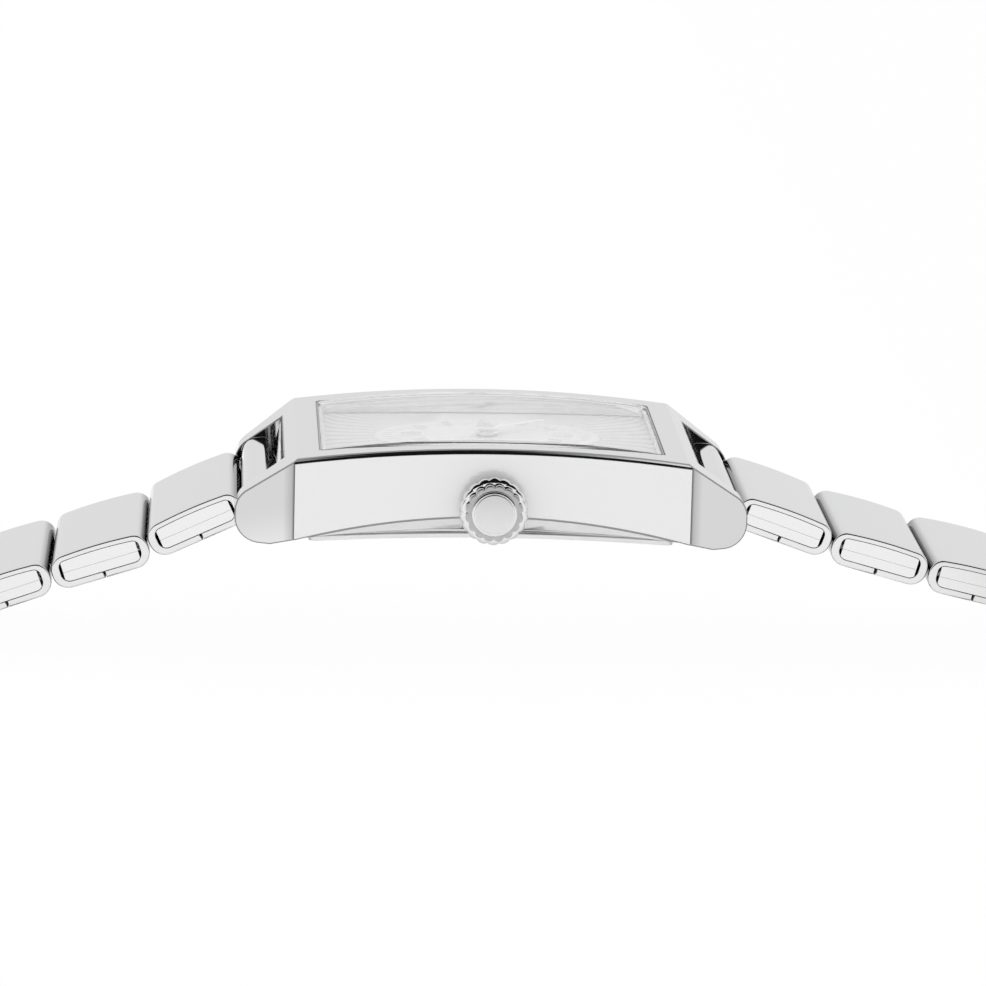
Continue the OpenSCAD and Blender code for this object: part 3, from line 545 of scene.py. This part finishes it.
# Crown: a toothed flange, a scalloped tier and a cap whose blasted disc stands up from a ring
crownShape = {
    "axisHeight": 3.8 * mm, "neckAt": 14.3 * mm,
    "flangeTeeth": 18, "tierTeeth": 16, "hump": 0.6,
    "neckR": 2.45, "flangeR": 3.03, "tierR": 2.55, "capR": 1.98, "shoulder": 0.12,
    "discR": 1.65, "deep": 2.6, "around": 720,
    "discFrom": 2.5,               # faces farther out than this lie on the disc
    "frontWithin": (2.1, 2.3),     # the tier's front lies between these
    "frontInner": 1.96,
    "frontNormal": 0.7,
}


def crownSurface(shape):
    # each station is (distance out, radius, depth of flange teeth, depth of tier hollows)
    neck, flange, tier, cap, shoulder, disc, deep = (shape[key] for key in (
        "neckR", "flangeR", "tierR", "capR", "shoulder", "discR", "deep"))
    stations = [
        # the bore for stem and tube, and the neck
        (1.95, 0, 0, 0), (1.95, 0.47, 0, 0), (1.6, 0.47, 0, 0), (1.6, 1.45, 0, 0),
        (0, 1.45, 0, 0), (0, neck - 0.05, 0, 0), (0.05, neck, 0, 0), (0.75, neck, 0, 0),
        # the flange
        (0.75, flange - 0.16, 0, 0), (0.77, flange - 0.08, 0.1, 0), (0.84, flange, 0.16, 0),
        (1.0, flange, 0.17, 0), (1.18, flange, 0.17, 0), (1.28, flange - 0.05, 0.13, 0),
        (1.42, flange - 0.22, 0.02, 0.03), (1.45, flange - 0.3, 0, 0.08),
        # the tier
        (1.46, tier, 0, 0.26), (1.8, tier, 0, 0.26), (2.05, tier, 0, 0.26),
        (2.14, tier - 0.03, 0, 0.24), (2.19, tier - 0.1, 0, 0.18), (2.2, tier - 0.18, 0, 0.1),
        (2.2, tier - 0.38, 0, 0), (2.2, cap, 0, 0),
        # the cap's side, as far as its ring
        (deep - shoulder - 0.03, cap - 0.01, 0, 0), (deep - shoulder, cap - 0.04, 0, 0),
    ]
    # the disc with its rounded shoulder
    stations += [(deep - shoulder + shoulder * math.sin(a), disc + shoulder * math.cos(a), 0, 0)
                 for a in np.linspace(0, np.pi / 2, 9)]
    stations += [(deep, 0, 0, 0)]
    out, radius, toothDepth, hollowDepth = np.array(stations).T[:, :, None]
    turn = np.linspace(0, 2 * np.pi, shape["around"], endpoint=False)[None, :]
    # all round, the radius falls by a depth times one minus a power of the sine, which gives
    # rounded humps with a notch between them
    tooth = 1 - np.abs(np.sin(shape["flangeTeeth"] * turn / 2)) ** shape["hump"]
    hollow = 1 - np.abs(np.sin(shape["tierTeeth"] * turn / 2)) ** shape["hump"]
    reach = radius - toothDepth * tooth - hollowDepth * hollow
    x = shape["neckAt"] + out * mm + 0 * turn
    y = reach * np.cos(turn) * mm
    return np.stack([x, y, shape["axisHeight"] + reach * np.sin(turn) * mm], -1)


def crownFinish(face, shape):
    # a face's place among the materials: 1 for the blasted disc, 2 for the tier's etched front
    offAxis = math.hypot(face.center.y, face.center.z - shape["axisHeight"]) / mm
    out = (face.center.x - shape["neckAt"]) / mm
    if out > shape["discFrom"] and offAxis < shape["discR"]:
        return 1
    onFront = shape["frontWithin"][0] < out < shape["frontWithin"][1]
    if onFront and offAxis > shape["frontInner"] and face.normal.x > shape["frontNormal"]:
        return 2
    return 0


crownMesh = surfaceMesh("crownKnob", crownSurface(crownShape), wrapColumns=True, sharpAbove=50)
place("crownKnob", crownMesh, "polished", "steel_polished", "crown")
for finish in ("blasted", "etched"):
    crownMesh.materials.append(finishes[finish])
for face in crownMesh.polygons:
    face.material_index = crownFinish(face, crownShape)
print("crown made")


# Dial: a plate with flutes that fan out lengthwise round a smooth oval
dialShape = {
    "halfWidth": 10.8, "halfLength": 14.65, "top": 6.1, "thick": 0.4, "holeR": 0.85,
    "ovalHalf": (6.7, 9.9), "ovalStep": 0.08, "ovalRim": 0.02,
    "laneWidth": 0.75, "fluteDepth": 0.06, "ridgePower": 5, "groovePower": 6, "grooveShift": 0.8,
    "fanFrom": 2.7, "fan": 0.66, "waist": 3.0, "flare": (2.9, 0.5), "fluteFrom": (4.0, 8.5),
    # painted highlight on the flutes' ridges and painted shade in their hollows; the ticks are
    # print
    "ridgeHighlightTone": 1.0, "plainTone": 0.97, "grooveShadeTone": 0.42, "tickTone": 0.35,
    "ticks": 60, "tickTrack": (5.0, 8.7), "tickWidth": 0.13, "tickLength": 0.1,
    "around": 960, "rings": 100, "ringPower": 0.8,
}


def plateEdge(turn, shape):
    # where a ray at this angle meets the plate's edge: half the width over the cosine or half
    # the length over the sine, the smaller of the two
    away = np.maximum(np.abs(np.cos(turn)) / shape["halfWidth"],
                      np.abs(np.sin(turn)) / shape["halfLength"])
    return 1 / away


def flutes(x, y, shape):
    # the flutes stand side by side in lanes. A lane's width grows along a hyperbola with the
    # distance from the middle, and faster near the plate's ends. Across a lane the height is a
    # power of the cosine, a narrow ridge up to 1, less a power of the shifted cosine, the hollow
    # beside it down to -1. Both fade out towards the middle.
    away = np.abs(y)
    width = np.hypot(shape["waist"], np.maximum(0, shape["fan"] * away - shape["fanFrom"]))
    width += shape["flare"][0] * np.exp(-(shape["halfLength"] - away) / shape["flare"][1])
    lane = np.pi * x / (width / shape["waist"] * shape["laneWidth"])
    start, full = shape["fluteFrom"]
    present = np.clip((away - start) / (full - start), 0, 1)
    ridge = np.abs(np.cos(lane)) ** shape["ridgePower"]
    groove = np.abs(np.cos(lane + shape["grooveShift"])) ** shape["groovePower"]
    return (ridge - groove) * present


def besideOval(x, y, shape):
    # 0 on the oval and 1 outside it, where x and y over the oval's halves make more than 1
    oval = np.sqrt((x / shape["ovalHalf"][0]) ** 2 + (y / shape["ovalHalf"][1]) ** 2)
    return np.clip((oval - 1.0) / shape["ovalRim"], 0, 1)


def dialRelief(x, y, shape):
    # outside the oval the flutes' wave, with its ridges at 0; on the oval one step up
    outside = besideOval(x, y, shape)
    fluted = shape["fluteDepth"] * (flutes(x, y, shape) - 1) * outside
    return fluted + shape["ovalStep"] * (1 - outside)


def minuteTicks(x, y, shape):
    # true on short radial strokes, one for each minute, that follow an oval track
    track = np.hypot(x / shape["tickTrack"][0], y / shape["tickTrack"][1])
    halfTurn = shape["ticks"] / 2
    angle = np.arctan2(y, x) * halfTurn / np.pi
    offLine = np.abs(angle - np.round(angle)) * np.pi / halfTurn * np.hypot(x, y)
    return (np.abs(track - 1) < shape["tickLength"] / 2) & (offLine < shape["tickWidth"] / 2)


def dialTone(x, y, shape):
    # painted highlight on the ridges and painted shade in the hollows; the printed ticks are
    # darker
    wave = flutes(x, y, shape) * besideOval(x, y, shape)
    plain = shape["plainTone"]
    tone = plain + np.maximum(wave, 0) * (shape["ridgeHighlightTone"] - plain)
    tone -= np.maximum(-wave, 0) * (plain - shape["grooveShadeTone"])
    return np.where(minuteTicks(x, y, shape), shape["tickTone"], tone)


def dialSurface(shape):
    # rings grow from the centre hole to the plate's edge, then go round under the plate and back
    # up the hole
    turn = np.linspace(0, 2 * np.pi, shape["around"], endpoint=False)[None, :]
    grow = np.linspace(0, 1, shape["rings"])[:, None] ** shape["ringPower"]
    reach = shape["holeR"] + grow * (plateEdge(turn, shape) - shape["holeR"])
    x, y = reach * np.cos(turn), reach * np.sin(turn)
    top = np.stack([x, y, shape["top"] + dialRelief(x, y, shape)], -1)
    under = top[[-1, 0]].copy()
    under[..., 2] = shape["top"] - shape["thick"]
    return np.concatenate([top, under]) * mm


def toneDial(mesh, shape):
    where = np.empty(len(mesh.vertices) * 3, dtype=np.float32)
    mesh.vertices.foreach_get("co", where)
    x, y = where.reshape(-1, 3)[:, 0] / mm, where.reshape(-1, 3)[:, 1] / mm
    colour = np.repeat(dialTone(x, y, shape)[:, None], 4, axis=1).astype(np.float32)
    layer = mesh.attributes.new("tone", "FLOAT_COLOR", "POINT")
    layer.data.foreach_set("color", colour.reshape(-1))


barEdges = {"radius": 0.05 * mm, "above": 6.3 * mm}


def barShare(middle, normals):
    # the bars' tops are rounded, their feet in the dial are not
    return 1.0 if middle.z > barEdges["above"] else 0.0


dialMesh = surfaceMesh("dialPlate", dialSurface(dialShape), wrapRows=True, wrapColumns=True,
                       sharpAbove=60)
toneDial(dialMesh, dialShape)
place("dialPlate", dialMesh, "dial", "dial_silver", "dial")
softened("hour_markers", "hourBars", "hands", "applied_steel", barEdges["radius"], barShare, 2)


# Hands: a ridge runs down the middle of each, and its hub is a flat ring with a rounded rim
handShape = {
    "knots": (0.4, 0.93),                        # shares of the reach where the width changes
    "widths": (0.28, 0.36, 0.5, 0.36, 0.02),     # shares of the width, from tail to point
    "tailStep": 0.98,
    "sideLift": 0.25,                            # height of the sides, in thicknesses
    "endLift": 0.3,                              # and of both ends
    "rim": ((0.8, 0), (0.95, 0.02), (1, 0.06)),  # share of the hub's radius, drop in mm
    "around": 96,
}
handSizes = {
    "hour": {"reach": 4.7, "tail": 1.4, "width": 1.1, "hubR": 1.1, "bore": 0.74, "low": 6.5,
             "thick": 0.12, "turn": 266.9},
    "minute": {"reach": 6.5, "tail": 1.7, "width": 0.85, "hubR": 0.8, "bore": 0.44, "low": 6.85,
               "thick": 0.12, "turn": 322.5},
}


def turned(points, degrees):
    # clockwise about the dial's axis, by the cosine and sine of the angle
    a = -math.radians(degrees)
    x, y, z = points[..., 0], points[..., 1], points[..., 2]
    return np.stack([x * math.cos(a) - y * math.sin(a), x * math.sin(a) + y * math.cos(a), z], -1)


def handSurface(size, shape):
    # each section along the hand has four corners: a low side, the ridge, the other side and
    # the middle of the underside; the blade narrows to both ends
    tail, reach, thick = size["tail"], size["reach"], size["thick"]
    knots = [reach * share for share in shape["knots"]]
    along = np.array([-tail, -tail * shape["tailStep"], 0, *knots, reach])
    wide = np.interp(along, [-tail, 0, *knots, reach], shape["widths"]) * size["width"]
    side = np.array([-1, 0, 1, 0])[None, :]
    lift = np.array([shape["sideLift"], 1, shape["sideLift"], 0])[None, :] * thick
    x = wide[:, None] * side
    y = along[:, None] + 0 * side
    z = size["low"] + lift + 0 * y
    tipHeight = size["low"] + shape["endLift"] * thick
    tips = np.stack([np.stack([0 * y[0], y[i], 0 * y[0] + tipHeight], -1) for i in (0, -1)])
    blade = np.concatenate([tips[:1], np.stack([x, y, z], -1), tips[1:]])
    return turned(blade, size["turn"]) * mm


def hubSurface(size, shape):
    # a ring round the axis: up the bore, over the top, down the rim and back underneath
    r, bore, low, high = size["hubR"], size["bore"], size["low"], size["low"] + size["thick"]
    ring = [(bore, low), (bore, high)] + [(r * share, high - drop) for share, drop in shape["rim"]]
    ring = np.array(ring + [(r, low)])
    turn = np.linspace(0, 2 * np.pi, shape["around"], endpoint=False)[None, :]
    reach, z = ring[:, :1], ring[:, 1:]
    return np.stack([reach * np.cos(turn), reach * np.sin(turn), z + 0 * turn], -1) * mm


for label, size in handSizes.items():
    blade = surfaceMesh(label + "Blade", handSurface(size, handShape), wrapColumns=True,
                        sharpAbove=10)
    hub = surfaceMesh(label + "Hub", hubSurface(size, handShape), wrapRows=True, wrapColumns=True)
    place(label + "Blade", blade, "hands", "hand_steel", label + "_hand")
    place(label + "Hub", hub, "hands", "hand_steel", label + "_hand")
print("dial and hands made")


# Stage: a pale floor under plain soft light
stageSettings = {
    "floorHeight": -11.405 * mm,
    "floorSize": 6.0,
    "paintedPoolTone": 1.0,              # a painted pool of light: the floor's tone along the watch's case
    "floorFar": 0.82,                # and towards both ends of the bracelet
    "paintedPoolMiddle": -0.006,
    "paintedPoolHalf": (0.046, 0.064),      # where the one goes over into the other
    "floorWhite": 0.96,              # share of plain white in the floor as the camera sees it
    "skySeen": 0.815,                # what polished metal mirrors from behind and the sides
    "skyDark": 0.007,                # and from the front
    "darkTilt": (0.95, 0.3, -0.45),  # how much the front, up and the sides count as dark
    "darkEdge": (0.36, 0.46),
}


def studioSky(settings):
    # plain light on the object; polished metal mirrors a pale sky with a dark part in front
    world = bpy.data.worlds.new("studioSky")
    bpy.context.scene.world = world
    world.use_nodes = True
    tree = world.node_tree
    plain = tree.nodes["Background"]
    mirrored = tree.nodes.new("ShaderNodeBackground")
    for light in (plain, mirrored):
        light.inputs["Color"].default_value = (1, 1, 1, 1)
    plain.inputs["Strength"].default_value = 1.0
    axes = axesOf(tree, "Generated")
    front, up, side = settings["darkTilt"]
    raised = mathNode(tree, "MULTIPLY", axes["Z"], up)
    facing = mathNode(tree, "MULTIPLY_ADD", axes["X"], front, raised)
    sideways = mathNode(tree, "ABSOLUTE", axes["Y"])
    facing = mathNode(tree, "MULTIPLY_ADD", sideways, side, facing)
    seen = fade(tree, facing, *settings["darkEdge"], settings["skySeen"], settings["skyDark"])
    tree.links.new(seen, mirrored.inputs["Strength"])
    path = tree.nodes.new("ShaderNodeLightPath")
    through = mathNode(tree, "SUBTRACT", 1.0, path.outputs["Is Transmission Ray"])
    glossy = mathNode(tree, "MULTIPLY", path.outputs["Is Glossy Ray"], through)
    mixOut(tree, glossy, plain.outputs["Background"], mirrored.outputs["Background"],
           "World Output")


def paleFloor(settings):
    # the metal sees the floor as it is lit, with the object's shadow and a painted pool of light,
    # brighter along the case and darker towards both ends; the camera sees it nearly white
    half, z = settings["floorSize"] / 2, settings["floorHeight"]
    mesh = bpy.data.meshes.new("floor")
    mesh.from_pydata([(-half, -half, z), (half, -half, z), (half, half, z), (-half, half, z)], [],
                     [(0, 1, 2, 3)])
    floor = bpy.data.objects.new("floor", mesh)
    bpy.context.scene.collection.objects.link(floor)
    material, tree, shader = newMaterial("paleFloor")
    shader.inputs["Roughness"].default_value = 1.0
    shader.inputs["Specular IOR Level"].default_value = 0.0
    # painted pool of light: the floor's colour is brightest along the case and falls off towards
    # both ends
    offMiddle = mathNode(tree, "SUBTRACT", axesOf(tree, "Object")["Y"], settings["paintedPoolMiddle"])
    tone = fade(tree, mathNode(tree, "ABSOLUTE", offMiddle), *settings["paintedPoolHalf"],
                settings["paintedPoolTone"], settings["floorFar"])
    tree.links.new(tone, shader.inputs["Base Color"])
    white = tree.nodes.new("ShaderNodeEmission")
    path = tree.nodes.new("ShaderNodeLightPath")
    seen = mathNode(tree, "MULTIPLY", path.outputs["Is Camera Ray"], settings["floorWhite"])
    mixOut(tree, seen, shader.outputs["BSDF"], white.outputs["Emission"])
    mesh.materials.append(material)


studioSky(stageSettings)
paleFloor(stageSettings)
bpy.context.scene.view_settings.view_transform = "Standard"
print("stage ready")


# Camera, at the photograph's angle
photoView = {
    "elevation": 12.08,    # degrees above the horizon
    "turn": 2.92,          # degrees from straight at the crown, towards 6 o'clock
    "roll": 1.41,          # degrees
    "distance": 0.5,
    "target": (0, 0.668 * mm, 2.098 * mm),
    "lens": 203.6,
    "sensor": 36,
    "clip": (0.01, 20),
}


def photoCamera(settings):
    # looks at the target along the line that the three angles give
    rise, turn, roll = (math.radians(settings[key]) for key in ("elevation", "turn", "roll"))
    flat = math.cos(rise)
    ahead = Vector((-math.cos(turn) * flat, math.sin(turn) * flat, -math.sin(rise)))
    level = Vector((math.sin(turn), math.cos(turn), 0))
    above = level.cross(ahead)
    right = level * math.cos(roll) + above * math.sin(roll)
    up = above * math.cos(roll) - level * math.sin(roll)
    camera = bpy.data.objects.new("photoCamera", bpy.data.cameras.new("photoCamera"))
    bpy.context.scene.collection.objects.link(camera)
    camera.data.lens = settings["lens"]
    camera.data.sensor_width = settings["sensor"]
    camera.data.clip_start, camera.data.clip_end = settings["clip"]
    eye = Vector(settings["target"]) - ahead * settings["distance"]
    facing = Matrix((right, up, -ahead)).transposed().to_4x4()
    camera.matrix_world = Matrix.Translation(eye) @ facing
    bpy.context.scene.camera = camera


photoCamera(photoView)
print("camera ready")
